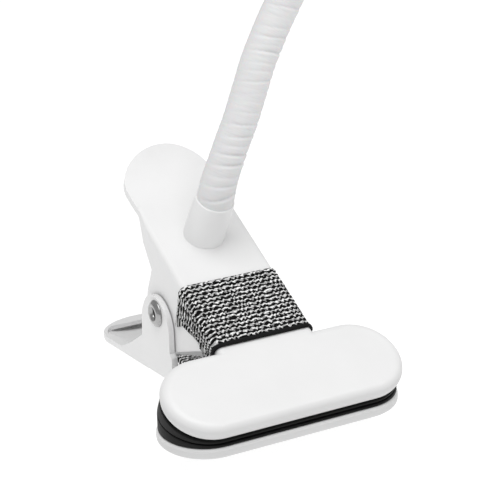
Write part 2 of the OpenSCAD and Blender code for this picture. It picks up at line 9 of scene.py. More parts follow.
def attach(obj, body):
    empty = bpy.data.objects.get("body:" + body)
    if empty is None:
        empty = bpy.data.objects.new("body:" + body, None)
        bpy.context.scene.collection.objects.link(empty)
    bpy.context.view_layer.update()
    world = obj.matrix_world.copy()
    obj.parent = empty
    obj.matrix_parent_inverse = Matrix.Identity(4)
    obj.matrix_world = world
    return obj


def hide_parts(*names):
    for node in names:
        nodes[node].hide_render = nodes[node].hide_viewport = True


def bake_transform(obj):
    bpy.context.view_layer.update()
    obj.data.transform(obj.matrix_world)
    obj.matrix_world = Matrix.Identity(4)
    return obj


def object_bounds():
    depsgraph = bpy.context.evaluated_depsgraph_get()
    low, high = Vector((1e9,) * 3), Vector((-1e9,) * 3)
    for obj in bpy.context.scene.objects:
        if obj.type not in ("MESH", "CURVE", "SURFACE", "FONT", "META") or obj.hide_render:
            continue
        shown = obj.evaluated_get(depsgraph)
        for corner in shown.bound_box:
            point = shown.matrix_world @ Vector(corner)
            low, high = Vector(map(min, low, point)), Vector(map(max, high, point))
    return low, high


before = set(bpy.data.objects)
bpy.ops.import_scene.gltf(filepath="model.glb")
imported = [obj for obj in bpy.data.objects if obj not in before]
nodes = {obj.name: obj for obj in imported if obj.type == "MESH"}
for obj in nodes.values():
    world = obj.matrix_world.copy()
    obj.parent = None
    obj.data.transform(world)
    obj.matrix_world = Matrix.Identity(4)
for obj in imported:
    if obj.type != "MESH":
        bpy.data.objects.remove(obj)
cad_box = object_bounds()
MM = 0.001

# ------------------------------------------------------------------ shared sizes, in mm

SLOPE = math.radians(25.2)                 # slope of the upper arm
UP_FWD, UP_Z, UP_TOP = 3.1, 14.7, 3.3      # the upper arm's frame, and its top surface
ARM_HW, ARM_EDGE = 16.6, 2.2               # its half width, and the rounding of its top edges
ARM_DRAFT, TAPER_H = 0.8, -12.0            # how much wider it is at its top than at height TAPER_H
NECK_HW = 16.9                             # half width of the lower arm's neck
PIN = (51.5, 20.9)                         # (y, z) of the hinge pin
EAR_X = 19.0                               # outside of the ears
COLLAR_X, COLLAR_S = 0.7, 64.2             # foot of the neck's collar on the upper arm
COLLAR_OUT = 19.2                          # height of the neck's first bend above it
STEP = 48.0                                # length of one step of the neck
LEAN = math.radians(4)                     # lean of the collar towards +X
TILT = (21.5, 29, 43, 60, 78, 94)          # each neck step's angle from upright, degrees
TURN = (2, 5, -20, -45, -66, -82)          # and its direction round Z


def arm_point(x, s, h):
    """A point of the upper arm's frame in the row frame, in mm."""
    c, n = math.cos(SLOPE), math.sin(SLOPE)
    return Vector((x, -UP_FWD + s * c - h * n, UP_Z + s * n + h * c))


def heading(tilt, turn):
    """Unit vector at an angle from upright and a direction round Z, in degrees."""
    t, a = math.radians(tilt), math.radians(turn)
    return Vector((math.sin(t) * math.cos(a), math.sin(t) * math.sin(a), math.cos(t)))


COLLAR_FOOT = arm_point(COLLAR_X, COLLAR_S, UP_TOP)
COLLAR_AXIS = Vector((math.sin(LEAN), -math.sin(SLOPE) * math.cos(LEAN), math.cos(SLOPE) * math.cos(LEAN)))
BENDS = [COLLAR_FOOT + COLLAR_AXIS * COLLAR_OUT]
for tilt, turn in zip(TILT, TURN):
    BENDS.append(BENDS[-1] + heading(tilt, turn) * STEP)

BAND_L = 27.5                              # length of the knitted band along the arm
ROW_PITCH = BAND_L / 15.6                  # from one knitted row to the next
STITCH = 2.2                               # length of one wave of the yarn
ROW_SHIFT = 0.16                           # share of a wave by which each row lags the one before
RIM_PAINTED_SHADE = 0.8                            # painted shade on the jaw plates' rims: their grey, as a share of the rest's

# ------------------------------------------------------------------ node helpers


# A shader value is a pair of a node and the number or name of one of its outputs.


def material(name):
    """An empty node material."""
    m = bpy.data.materials.new(name)
    m.use_nodes = True
    m.node_tree.nodes.clear()
    return m


def math_node(m, op, a, b=0.0, c=0.0, clamp=False):
    """One operation on numbers or shader values."""
    n = m.node_tree.nodes.new("ShaderNodeMath")
    n.operation = op
    n.use_clamp = clamp
    for i, value in enumerate((a, b, c)):
        if isinstance(value, tuple):
            m.node_tree.links.new(value[0].outputs[value[1]], n.inputs[i])
        else:
            n.inputs[i].default_value = value
    return (n, 0)


def ramp(m, fac, stops):
    """Colours by value; each stop is a position and a grey or a colour."""
    n = m.node_tree.nodes.new("ShaderNodeValToRGB")
    el = n.color_ramp.elements
    while len(el) < len(stops):
        el.new(0.5)
    for e, (at, grey) in zip(el, stops):
        e.position = at
        e.color = (*grey, 1) if isinstance(grey, tuple) else (grey, grey, grey, 1)
    m.node_tree.links.new(fac[0].outputs[fac[1]], n.inputs[0])
    return (n, 0)


def noise(m, scale, detail=2.0, rough=0.5, vector=None, stretch=None):
    """Noise with scale features to a metre of object space, or to a unit of vector."""
    t = m.node_tree
    if vector is None:
        co = t.nodes.new("ShaderNodeTexCoord")
        vector = (co, "Object")
    if stretch is not None:
        mp = t.nodes.new("ShaderNodeMapping")
        mp.inputs["Scale"].default_value = stretch
        t.links.new(vector[0].outputs[vector[1]], mp.inputs[0])
        vector = (mp, 0)
    n = t.nodes.new("ShaderNodeTexNoise")
    n.inputs["Scale"].default_value = scale
    n.inputs["Detail"].default_value = detail
    n.inputs["Roughness"].default_value = rough
    t.links.new(vector[0].outputs[vector[1]], n.inputs["Vector"])
    return (n, 0)


def mix(m, share, first, second):
    """Share of the way from the first colour to the second."""
    n = m.node_tree.nodes.new("ShaderNodeMix")
    n.data_type = "RGBA"
    for source, socket in ((share, 0), (first, 6), (second, 7)):
        m.node_tree.links.new(source[0].outputs[source[1]], n.inputs[socket])
    return (n, 2)


def split(m, vector):
    """The x, y and z of a vector."""
    n = m.node_tree.nodes.new("ShaderNodeSeparateXYZ")
    m.node_tree.links.new(vector[0].outputs[vector[1]], n.inputs[0])
    return (n, 0), (n, 1), (n, 2)


def uv_map(m, layer):
    n = m.node_tree.nodes.new("ShaderNodeUVMap")
    n.uv_map = layer
    return (n, 0)


def bump(m, height, strength, distance, normal=None):
    """Relief from height, distance metres deep."""
    n = m.node_tree.nodes.new("ShaderNodeBump")
    n.inputs["Strength"].default_value = strength
    n.inputs["Distance"].default_value = distance
    m.node_tree.links.new(height[0].outputs[height[1]], n.inputs["Height"])
    if normal is not None:
        m.node_tree.links.new(normal[0].outputs[normal[1]], n.inputs["Normal"])
    return (n, 0)


def finish_shader(m, color, rough, normal=None, **constants):
    """Principled shader; constants go on its own sockets."""
    t = m.node_tree
    p = t.nodes.new("ShaderNodeBsdfPrincipled")
    o = t.nodes.new("ShaderNodeOutputMaterial")
    t.links.new(p.outputs[0], o.inputs[0])
    for key, value in (("Base Color", color), ("Roughness", rough), ("Normal", normal)):
        if value is None:
            continue
        if isinstance(value, tuple) and hasattr(value[0], "outputs"):
            t.links.new(value[0].outputs[value[1]], p.inputs[key])
        elif key == "Base Color":
            p.inputs[key].default_value = (*value, 1)
        else:
            p.inputs[key].default_value = value
    for key, value in constants.items():
        p.inputs[key.replace("_", " ")].default_value = value
    return m


# ------------------------------------------------------------------ materials


def plastic(name, grey, rough=0.42, tint=(1, 1, 1), painted_shade_y=None):
    """Moulded satin plastic: faint cloudiness, spark-eroded grain and uneven gloss.

    In front of the given y (metres) the faces that don't face up get painted shade, a greyer colour, so that
    the jaw plates' rims stand out from the bright floor."""
    m = material(name)
    cloud = noise(m, 45, 3, 0.5)
    lo, hi = grey * 0.975, min(1.0, grey * 1.01)
    color = ramp(m, cloud, ((0.3, tuple(lo * c for c in tint)), (0.7, tuple(hi * c for c in tint))))
    if painted_shade_y is not None:
        # painted shade: faces in front of the given y that don't face up are mixed towards a greyer copy of
        # the colour
        co = m.node_tree.nodes.new("ShaderNodeTexCoord")
        not_up = math_node(m, "MULTIPLY_ADD", split(m, (co, "Normal"))[2], -1.5, 1.1, clamp=True)
        front = math_node(m, "MULTIPLY_ADD", split(m, (co, "Object"))[1], -900.0, 900.0 * painted_shade_y, clamp=True)
        painted_shade = ramp(m, cloud, ((0.3, lo * RIM_PAINTED_SHADE), (0.7, hi * RIM_PAINTED_SHADE)))
        color = mix(m, math_node(m, "MULTIPLY", not_up, front), color, painted_shade)
    patch = noise(m, 220, 4, 0.6)
    r = math_node(m, "MULTIPLY_ADD", patch, 0.12, rough - 0.06)
    grain = noise(m, 5200, 2, 0.5)
    n = bump(m, grain, 0.12, 0.00004)
    return finish_shader(m, color, r, n, IOR=1.47)


def rubber(name, grey=0.005):
    """Matt black rubber with fine pits."""
    m = material(name)
    cloud = noise(m, 300, 4, 0.6)
    color = ramp(m, cloud, ((0.3, grey * 0.7), (0.75, grey * 1.8)))
    r = math_node(m, "MULTIPLY_ADD", cloud, 0.2, 0.5)
    pits = noise(m, 2600, 3, 0.6)
    return finish_shader(m, color, r, bump(m, pits, 0.35, 0.0001), IOR=1.3)


def steel(name, grey, rough, scale=900):
    """Bare metal, uneven in tone and gloss."""
    m = material(name)
    streak = noise(m, scale, 5, 0.6)
    color = ramp(m, streak, ((0.25, grey * 0.8), (0.75, grey * 1.1)))
    r = math_node(m, "MULTIPLY_ADD", streak, 0.2, rough - 0.1)
    return finish_shader(m, color, r, bump(m, streak, 0.15, 0.00005), Metallic=1.0)


def silicone(name):
    """Soft white sleeve: matte, with painted shade above its creases and a painted highlight below each, and
    fine cross wrinkles from its UVs.
    """
    m = material(name)
    uv = uv_map(m, "along")
    # painted shade and painted highlight of the creases, read from a vertex attribute
    painted_crease_shading = m.node_tree.nodes.new("ShaderNodeAttribute")
    painted_crease_shading.attribute_name = "painted_crease_shading"
    cloud = noise(m, 1.0, 3, 0.5, vector=uv, stretch=(0.12, 0.5, 1))
    level = math_node(m, "MULTIPLY_ADD", cloud, 0.16, (painted_crease_shading, 2))
    tones = ((0.0, (0.40, 0.40, 0.405)), (0.55, (0.715, 0.715, 0.72)), (1.0, (0.87, 0.87, 0.87)))
    color = ramp(m, level, tones)
    r = math_node(m, "MULTIPLY_ADD", cloud, 0.1, 0.5)
    wrinkle = noise(m, 1.0, 3, 0.55, vector=uv, stretch=(0.14, 1.1, 1))
    fine = noise(m, 1.0, 4, 0.6, vector=uv, stretch=(0.5, 4.0, 1))
    n = bump(m, fine, 0.08, 0.0002, bump(m, wrinkle, 0.3, 0.0005))
    return finish_shader(m, color, r, n, IOR=1.43, Subsurface_Weight=0.1, Subsurface_Scale=0.002)


def knit(name):
    """Two-colour mesh knit: wavy pale yarn over black, drawn from the row and stitch UVs."""
    m = material(name)
    uv = uv_map(m, "knit")
    u, v, _ = split(m, uv)
    slow = noise(m, 0.2, 2, 0.5, vector=uv)
    patchy = noise(m, 0.5, 3, 0.6, vector=uv, stretch=(0.7, 1.5, 1))
    row = math_node(m, "FLOOR", math_node(m, "MULTIPLY", v, 1 / ROW_PITCH))
    shift = math_node(m, "MULTIPLY_ADD", row, ROW_SHIFT, math_node(m, "MULTIPLY", slow, 3.2))
    phase = math_node(m, "MULTIPLY_ADD", u, 1 / STITCH, shift)
    angle = math_node(m, "MULTIPLY", phase, 2 * math.pi)
    lean = math_node(m, "MULTIPLY_ADD", math_node(m, "SINE", angle), 0.7, angle)
    wave = math_node(m, "SINE", lean)
    jitter = math_node(m, "MULTIPLY_ADD", patchy, 0.5, -0.25)
    level = math_node(m, "MULTIPLY_ADD", v, 1 / ROW_PITCH, math_node(m, "MULTIPLY", wave, 0.21))
    w = math_node(m, "ADD", level, jitter)
    across = math_node(m, "SINE", math_node(m, "MULTIPLY", w, 2 * math.pi))
    strand = noise(m, 1.9, 4, 0.65, vector=uv, stretch=(0.7, 1.3, 1))
    wander = math_node(m, "MULTIPLY", patchy, 9.0)
    dive = math_node(m, "SINE", math_node(m, "MULTIPLY_ADD", angle, 2.0, wander))
    yarn = math_node(m, "MULTIPLY_ADD", dive, 0.18, across)
    edge = math_node(m, "ADD", yarn, math_node(m, "MULTIPLY_ADD", strand, 2.0, -1.3))
    lit = ramp(m, math_node(m, "MULTIPLY_ADD", edge, 0.5, 0.5), ((0.44, 0.0), (0.6, 1.0)))
    bright = noise(m, 1.1, 3, 0.75, vector=uv, stretch=(0.45, 0.9, 1))
    pale = ramp(m, bright, ((0.32, 0.22), (0.48, 0.5), (0.56, 0.98)))
    dark = ramp(m, strand, ((0.3, 0.001), (0.75, 0.008)))
    ridge = math_node(m, "MAXIMUM", across, 0.0)
    fibre = noise(m, 9.0, 3, 0.7, vector=uv, stretch=(0.5, 2.5, 1))
    height = math_node(m, "MULTIPLY_ADD", fibre, 0.3, ridge)
    n = bump(m, height, 0.5, 0.0003)
    return finish_shader(m, mix(m, lit, dark, pale), 0.95, n, IOR=1.2)


def woven(name, grey=0.0025):
    """Black woven edging with a fine diagonal twill."""
    m = material(name)
    uv = uv_map(m, "knit")
    u, v, _ = split(m, uv)
    a = math_node(m, "SINE", math_node(m, "MULTIPLY", math_node(m, "ADD", u, v), 9.0))
    b = math_node(m, "SINE", math_node(m, "MULTIPLY", v, 14.0))
    twill = math_node(m, "MULTIPLY", a, b)
    fibre = noise(m, 8.0, 3, 0.7, vector=uv)
    h = math_node(m, "MULTIPLY_ADD", twill, 0.5, fibre)
    color = ramp(m, fibre, ((0.3, grey), (0.8, grey * 3)))
    return finish_shader(m, color, 0.8, bump(m, h, 0.5, 0.00012), IOR=1.25, Sheen_Weight=0.04)


JAW_BACK = 0.0168                          # just behind the jaw plates
WHITE = plastic("white_plastic", 0.83)
# copies of the white plastic with painted shade on the jaw plates' rims
WHITE_UP_PAINTED_RIMS = plastic("white_plastic_upper_painted_rims", 0.83, painted_shade_y=JAW_BACK)
WHITE_LOW_PAINTED_RIMS = plastic("white_plastic_lower_painted_rims", 0.82, painted_shade_y=JAW_BACK)
HEAD_WHITE = plastic("head_plastic", 0.83, 0.38)
BUTTON = plastic("button_plastic", 0.55, 0.5)
BUSH = plastic("bush_nylon", 0.7, 0.5, (1, 0.985, 0.94))
RUBBER = rubber("pad_rubber")
RIVET = steel("rivet_steel", 0.4, 0.22)
# near-black steel: painted shade in the rivets' hollow heads
RIVET_BORE_SHADE = steel("rivet_bore", 0.06, 0.5)
WIRE = steel("wire_steel", 0.5, 0.35)
CORE = steel("core_steel", 0.35, 0.4)
SLEEVE = silicone("sleeve_silicone")
KNIT = knit("knit_yarn")
HEM = woven("hem_weave")


def board(name, tint):
    """Lacquered circuit board, or the phosphor on its chips."""
    m = material(name)
    blotch = noise(m, 180, 3, 0.5)
    color = ramp(m, blotch, ((0.35, tuple(c * 0.85 for c in tint)), (0.7, tint)))
    return finish_shader(m, color, 0.4, bump(m, noise(m, 900, 3, 0.6), 0.2, 0.00005))


def opal(name):
    """Milky lens plastic."""
    m = material(name)
    cloud = noise(m, 60, 2, 0.5)
    color = ramp(m, cloud, ((0.3, (0.86, 0.86, 0.84)), (0.7, (0.9, 0.9, 0.88))))
    return finish_shader(m, color, 0.35, bump(m, noise(m, 4000, 2, 0.5), 0.15, 0.00004),
                         Subsurface_Weight=0.3, Subsurface_Scale=0.003, IOR=1.49)


def dark_plastic(name, grey):
    """Plain grainy plastic."""
    m = material(name)
    cloud = noise(m, 400, 3, 0.6)
    color = ramp(m, cloud, ((0.3, grey * 0.7), (0.7, grey * 1.4)))
    return finish_shader(m, color, 0.5, bump(m, noise(m, 3000, 2, 0.5), 0.2, 0.00005))


FINISH = {
    "lower_arm": WHITE_LOW_PAINTED_RIMS, "upper_arm": WHITE_UP_PAINTED_RIMS, "neck_collar": WHITE, "spring_bush": BUSH,
    "torsion_spring": WIRE, "hinge_rivet": RIVET, "rivet_cap": RIVET, "collar_washer": RIVET,
    "collar_nut": RIVET, "ferrule_nut": RIVET, "head_screws": RIVET, "lower_pad": RUBBER,
    "upper_pad": RUBBER, "band_lower": KNIT, "band_upper": KNIT, "band_hem": HEM,
    "neck_ferrule": HEAD_WHITE, "head_cover": HEAD_WHITE, "head_frame": HEAD_WHITE,
    "diffuser": opal("opal_lens"), "led_board": board("board_white", (0.8, 0.8, 0.78)),
    "control_board": board("board_green", (0.02, 0.16, 0.06)),
    "led_chips": board("chip_phosphor", (0.75, 0.6, 0.12)),
    "battery_cell": steel("cell_foil", 0.5, 0.45, scale=400),
    "switch_body": dark_plastic("switch_black", 0.02), "power_button": BUTTON,
    "usb_socket": steel("port_steel", 0.55, 0.3), "indicator_pipe": opal("pipe_clear"),
    "neck_core_base": CORE,
}
for i in range(1, 7):
    FINISH[f"neck_core_{i}"] = CORE
    FINISH[f"neck_sleeve_{i}"] = SLEEVE
for name, m in FINISH.items():
    nodes[name].data.materials.clear()
    nodes[name].data.materials.append(m)

# ------------------------------------------------------------------ mesh helpers


def mesh_object(name, verts, faces, mat, uvs=None, uv_name="knit"):
    """A mesh from points in mm; uvs is one pair per vertex."""
    me = bpy.data.meshes.new(name)
    me.from_pydata([tuple(float(c) * MM for c in v) for v in verts], [], faces)
    me.validate()
    if uvs is not None:
        layer = me.uv_layers.new(name=uv_name)
        index = np.zeros(len(me.loops), np.int32)
        me.loops.foreach_get("vertex_index", index)
        layer.data.foreach_set("uv", np.asarray(uvs, np.float32)[index].ravel())
    me.polygons.foreach_set("use_smooth", [True] * len(me.polygons))
    me.materials.append(mat)
    ob = bpy.data.objects.new(name, me)
    bpy.context.scene.collection.objects.link(ob)
    return ob


def soft_copy(name, node, body, width, segments=3, angle=30):
    """A copy of a CAD node with its hard edges rounded, to stand for it."""
    src = nodes[node]
    me = src.data.copy()
    ob = bpy.data.objects.new(name, me)
    bpy.context.scene.collection.objects.link(ob)
    bm = bmesh.new()
    bm.from_mesh(me)
    bmesh.ops.remove_doubles(bm, verts=bm.verts, dist=2e-6)
    bmesh.ops.dissolve_limit(bm, angle_limit=math.radians(1.0), verts=bm.verts, edges=bm.edges)
    bm.to_mesh(me)
    bm.free()
    me.polygons.foreach_set("use_smooth", [True] * len(me.polygons))
    me.set_sharp_from_angle(angle=math.radians(angle))
    b = ob.modifiers.new("round", "BEVEL")
    b.width = width * MM
    b.segments = segments
    b.limit_method = "ANGLE"
    b.angle_limit = math.radians(angle)
    b.use_clamp_overlap = True
    w = ob.modifiers.new("flat_faces", "WEIGHTED_NORMAL")
    w.weight = 100
    w.keep_sharp = False
    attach(ob, body)
    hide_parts(node)
    return ob


def lathe(name, profile, mat, origin, axis, segments=72):
    """Turns (radius, height) points about an axis; origin and points in mm."""
    axis = Vector(axis).normalized()
    side = axis.orthogonal().normalized()
    other = axis.cross(side)
    verts, faces = [], []
    for k in range(segments):
        a = 2 * math.pi * k / segments
        d = side * math.cos(a) + other * math.sin(a)
        verts += [Vector(origin) + d * r + axis * h for r, h in profile]
    n = len(profile)
    for k in range(segments):
        k2 = (k + 1) % segments
        faces += [(k * n + j, k2 * n + j, k2 * n + j + 1, k * n + j + 1) for j in range(n - 1)]
    ob = mesh_object(name, verts, faces, mat)
    bm = bmesh.new()
    bm.from_mesh(ob.data)
    bmesh.ops.remove_doubles(bm, verts=bm.verts, dist=1e-7)
    bmesh.ops.recalc_face_normals(bm, faces=bm.faces)
    bm.to_mesh(ob.data)
    bm.free()
    return ob


def rounded_profile(points, r, steps=4):
    """Rounds the corners of an open polyline of (radius, height) points."""
    out = [points[0]]
    for p, q, s in zip(points, points[1:], points[2:]):
        p, q, s = Vector(p), Vector(q), Vector(s)
        a, b = (p - q), (s - q)
        k = min(r, a.length * 0.45, b.length * 0.45)
        a, b = q + a.normalized() * k, q + b.normalized() * k
        out += [tuple(a.lerp(q, t).lerp(q.lerp(b, t), t)) for t in [i / steps for i in range(steps + 1)]]
    return out + [points[-1]]


# ------------------------------------------------------------------ knitted band


def polyline(points, t):
    """The point at share t of a polyline's length."""
    p = [np.array(q, float) for q in points]
    seg = [np.linalg.norm(b - a) for a, b in zip(p, p[1:])]
    at = t * sum(seg)
    for a, b, d in zip(p, p[1:], seg):
        if at <= d or b is p[-1]:
            return a + (b - a) * min(1.0, at / d if d else 0.0)
        at -= d


def coons(left, right, top, bottom, t, v):
    """Transfinite patch: top and bottom run in v at t 0 and 1, left and right run in t at v 0 and 1."""
    a, b, c, d = top(0), top(1), bottom(0), bottom(1)
    return ((1 - v) * left(t) + v * right(t) + (1 - t) * top(v) + t * bottom(v)
            - ((1 - t) * (1 - v) * a + (1 - t) * v * b + t * (1 - v) * c + t * v * d))


BAND_S0 = 15.7                             # front and back of the band on the upper arm
BAND_S1 = BAND_S0 + BAND_L
CLOTH = 0.55                               # distance of the cloth's middle from what it wraps
WAIST = ((13.9, 15.7), (18.6, 17.5))       # (y, z) where the rows pass in front of the skirt
REAR_SIDE = ((43.2, 0.8), (42.7, -3.3), (42.3, -10.1), (41.9, -13.4), (41.3, -13.8), (40.2, -12.6),
             (37.3, -8.8), (32.7, -7.2), (28.7, -5.3), (25.9, -4.6), (24.2, -5.2))
SKIRT_TOP = REAR_SIDE[:4:-1] + ((41.6, -13.9),)   # the same line from the front, down to its lowest point
LOW_Y = (16.1, 39.3)                       # front and back of the band under the neck
LOW_Z, UNDER_R = 2.2, 1.4                  # where its sides turn under, and the radius of that turn
LOW_BACK = ((21.6, 16.9), (30.0, 13.9), (36.3, 11.2), (LOW_Y[1], 9.7), (LOW_Y[1], LOW_Z))


def to_local(y, z):
    """(s, h) of the upper arm's frame from (y, z)."""
    c, n = math.cos(SLOPE), math.sin(SLOPE)
    dy, dz = y + UP_FWD, z - UP_Z
    return (dy * c + dz * n, -dy * n + dz * c)


def upper_side(t, v):
    """Distance from the middle, and place, on the upper half's side; t from the top edge down."""
    waist = [to_local(*w) for w in WAIST]
    top = lambda k: np.array([BAND_S0 + (BAND_S1 - BAND_S0) * k, 0.8])
    bottom = lambda k: polyline(waist, k)
    left = lambda k: polyline(((BAND_S0, 0.8), waist[0]), k)
    right = lambda k: polyline(REAR_SIDE + (waist[1],), k)
    s, h = coons(left, right, top, bottom, t, v)
    if SKIRT_TOP[0][0] < s < SKIRT_TOP[-1][0]:
        h = max(h, np.interp(s, *zip(*SKIRT_TOP)) + 0.5 * (1 - v))
    share = min(1.0, max(0.0, (h - TAPER_H) / (UP_TOP - ARM_EDGE - TAPER_H)))
    return ARM_HW + ARM_DRAFT * share + CLOTH, arm_point(0, s, h)


def low_y(v):
    """The y of share v of the band's length under the neck."""
    return LOW_Y[0] + (LOW_Y[1] - LOW_Y[0]) * v


def lower_side(t, v):
    """(y, z) on the side of the lower half; t from the waist down."""
    top = lambda k: polyline(WAIST, k)
    bottom = lambda k: np.array([low_y(k), LOW_Z])
    left = lambda k: polyline((WAIST[0], (16.0, 12.5), (LOW_Y[0], LOW_Z)), k)
    right = lambda k: polyline((WAIST[1],) + LOW_BACK, k)
    return coons(left, right, top, bottom, t, v)


def band_loop():
    """Stations round half of the band, from the top's middle to the underside's middle.

    Each is a function of v, the share of the band's length from its front, and sx, the side."""
    low_x = NECK_HW + CLOTH
    r = ARM_EDGE + CLOTH
    flat = ARM_HW + ARM_DRAFT - ARM_EDGE
    n_flat, n_arc, n_side, n_low, n_corner, n_under = 48, 14, 70, 56, 6, 30

    def over(x, h):
        return lambda v, sx: arm_point(sx * x, BAND_S0 + (BAND_S1 - BAND_S0) * v, h)

    def beside_arm(t):
        def station(v, sx):
            x, p = upper_side(t, v)
            return Vector((sx * x, p.y, p.z))
        return station

    def beside_neck(t):
        return lambda v, sx: Vector((sx * low_x, *lower_side(t, v)))

    def under(x, z):
        return lambda v, sx: Vector((sx * x, low_y(v), z))

    quarter = math.pi / 2
    out = [over(flat * i / n_flat, UP_TOP + CLOTH) for i in range(n_flat + 1)]
    for a in [quarter * i / n_arc for i in range(1, n_arc + 1)]:
        out.append(over(flat + r * math.sin(a), UP_TOP - ARM_EDGE + r * math.cos(a)))
    out += [beside_arm(i / n_side) for i in range(1, n_side + 1)]
    out += [beside_neck(i / n_low) for i in range(1, n_low + 1)]
    for a in [quarter * i / n_corner for i in range(1, n_corner + 1)]:
        out.append(under(low_x - UNDER_R * (1 - math.cos(a)), LOW_Z - UNDER_R * math.sin(a)))
    out += [under((low_x - UNDER_R) * (1 - i / n_under), LOW_Z - UNDER_R) for i in range(1, n_under + 1)]
    return out


half_loop = band_loop()
stations = [(f, 1) for f in half_loop] + [(f, -1) for f in reversed(half_loop[1:-1])]
ROWS = 96
grid = np.array([[f(j / ROWS, sx) for j in range(ROWS + 1)] for f, sx in stations])
n_u = len(stations)

# the yarn's distance along the rows, measured half way between the band's front and back
centre_line = grid[:, ROWS // 2]
steps_u = np.linalg.norm(np.roll(centre_line, -1, 0) - centre_line, axis=1)
along_u = np.concatenate([[0], np.cumsum(steps_u)])

# push the yarn rows in and out, along the cloth's own normal
du = np.roll(grid, -1, 0) - np.roll(grid, 1, 0)
dv = np.gradient(grid, axis=1)
normal = np.cross(du, dv)
normal /= np.maximum(np.linalg.norm(normal, axis=2, keepdims=True), 1e-9)
u_mm = along_u[:-1][:, None] * np.ones(ROWS + 1)
v_mm = np.ones(n_u)[:, None] * np.linspace(0, BAND_L, ROWS + 1)
wave = np.sin(2 * np.pi * (u_mm / STITCH + ROW_SHIFT * np.floor(v_mm / ROW_PITCH))) * 0.14
swell = 0.12 * np.sin(2 * np.pi * (v_mm / ROW_PITCH + wave)) + 0.05 * np.sin(2 * np.pi * u_mm / STITCH + v_mm)
arm_up = np.array((0, -math.sin(SLOPE), math.cos(SLOPE)))
sign = 1.0 if np.dot(normal[0, ROWS // 2], arm_up) > 0 else -1.0
grid = grid + sign * normal * swell[:, :, None]

# its first station comes again at the end, so that the yarn's distance round it can run on
seam_verts = np.concatenate([grid, grid[:1]]).reshape(-1, 3)
uvs = [(along_u[i], j * BAND_L / ROWS) for i in range(n_u + 1) for j in range(ROWS + 1)]
faces = []
for i in range(n_u):
    for j in range(ROWS):
        a, b = i * (ROWS + 1) + j, (i + 1) * (ROWS + 1) + j
        faces.append((a, b, b + 1, a + 1))
band = mesh_object("knit_band", seam_verts, faces, KNIT, uvs)

# black edging that binds the band's front edge, all the way round
edge = np.array([f(0.0, sx) for f, sx in stations])
edge_in = np.array([f(0.06, sx) for f, sx in stations])
out_dir = sign * normal[:, 0]
fwd = edge - edge_in
fwd /= np.linalg.norm(fwd, axis=1, keepdims=True)
HEM_W, HEM_T, HEM_SIDES = 1.55, 0.9, 16    # its width, thickness and sides; half rounded, half square
section = [(HEM_W * 0.5 * math.copysign(abs(math.cos(a)) ** 0.6, math.cos(a)) - 0.5,
            HEM_T * 0.5 * math.copysign(abs(math.sin(a)) ** 0.8, math.sin(a)))
           for a in [2 * math.pi * k / HEM_SIDES for k in range(HEM_SIDES)]]
hem_verts, hem_faces, hem_uvs = [], [], []
for i in range(n_u + 1):
    k = i % n_u
    for j, (a, b) in enumerate(section):
        hem_verts.append(edge[k] + fwd[k] * a + out_dir[k] * b)
        hem_uvs.append((along_u[i], j * 0.35))
for i in range(n_u):
    for j in range(HEM_SIDES):
        here, there, j2 = i * HEM_SIDES, (i + 1) * HEM_SIDES, (j + 1) % HEM_SIDES
        hem_faces.append((here + j, there + j, there + j2, here + j2))
hem = mesh_object("hem_roll", hem_verts, hem_faces, HEM, hem_uvs)

for ob in (band, hem):
    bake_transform(ob)
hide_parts("band_upper", "band_lower")
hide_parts("band_hem")

# ------------------------------------------------------------------ gooseneck sleeve

MID = [(a + b) / 2 for a, b in zip(BENDS, BENDS[1:])]
# the sleeve's middle: the stretch above the collar by its own points, then past each bend
way = [COLLAR_FOOT + COLLAR_AXIS * 10.5, COLLAR_FOOT + COLLAR_AXIS * 17, Vector((3.1, 45.0, 67.5)),
       Vector((7.2, 44.4, 78.3)), Vector((11.8, 44.5, 88.9)), Vector((17.2, 45.3, 102.6)),
       Vector((22.0, 46.2, 111.9)), Vector((34.2, 46.6, 133.1))]
for i in range(2, 6):
    way += [(MID[i - 1] + BENDS[i] * 2 + MID[i]) / 4, MID[i].copy()]
way[8] = way[8].lerp(way[7], 0.1)          # eases one stretch into the next
head_dir = heading(TILT[5], TURN[5])
SLEEVE_IN = 1.5                            # how far the sleeve goes into the ferrule
way += [BENDS[6] - head_dir * 8, BENDS[6] + head_dir * SLEEVE_IN]


def spline(points, per=24):
    """Catmull-Rom curve with chord lengths, sampled evenly in each span."""
    p = [points[0] * 2 - points[1]] + list(points) + [points[-1] * 2 - points[-2]]
    out = []
    for a, b, c, d in zip(p, p[1:], p[2:], p[3:]):
        k = [0.0]
        for q, s in ((a, b), (b, c), (c, d)):
            k.append(k[-1] + max(1e-6, (s - q).length) ** 0.5)
        for i in range(per):
            t = k[1] + (k[2] - k[1]) * i / per
            a1 = a * ((k[1] - t) / (k[1] - k[0])) + b * ((t - k[0]) / (k[1] - k[0]))
            a2 = b * ((k[2] - t) / (k[2] - k[1])) + c * ((t - k[1]) / (k[2] - k[1]))
            a3 = c * ((k[3] - t) / (k[3] - k[2])) + d * ((t - k[2]) / (k[3] - k[2]))
            b1 = a1 * ((k[2] - t) / (k[2] - k[0])) + a2 * ((t - k[0]) / (k[2] - k[0]))
            b2 = a2 * ((k[3] - t) / (k[3] - k[1])) + a3 * ((t - k[1]) / (k[3] - k[1]))
            out.append(b1 * ((k[2] - t) / (k[2] - k[1])) + b2 * ((t - k[1]) / (k[2] - k[1])))
    return out + [points[-1]]


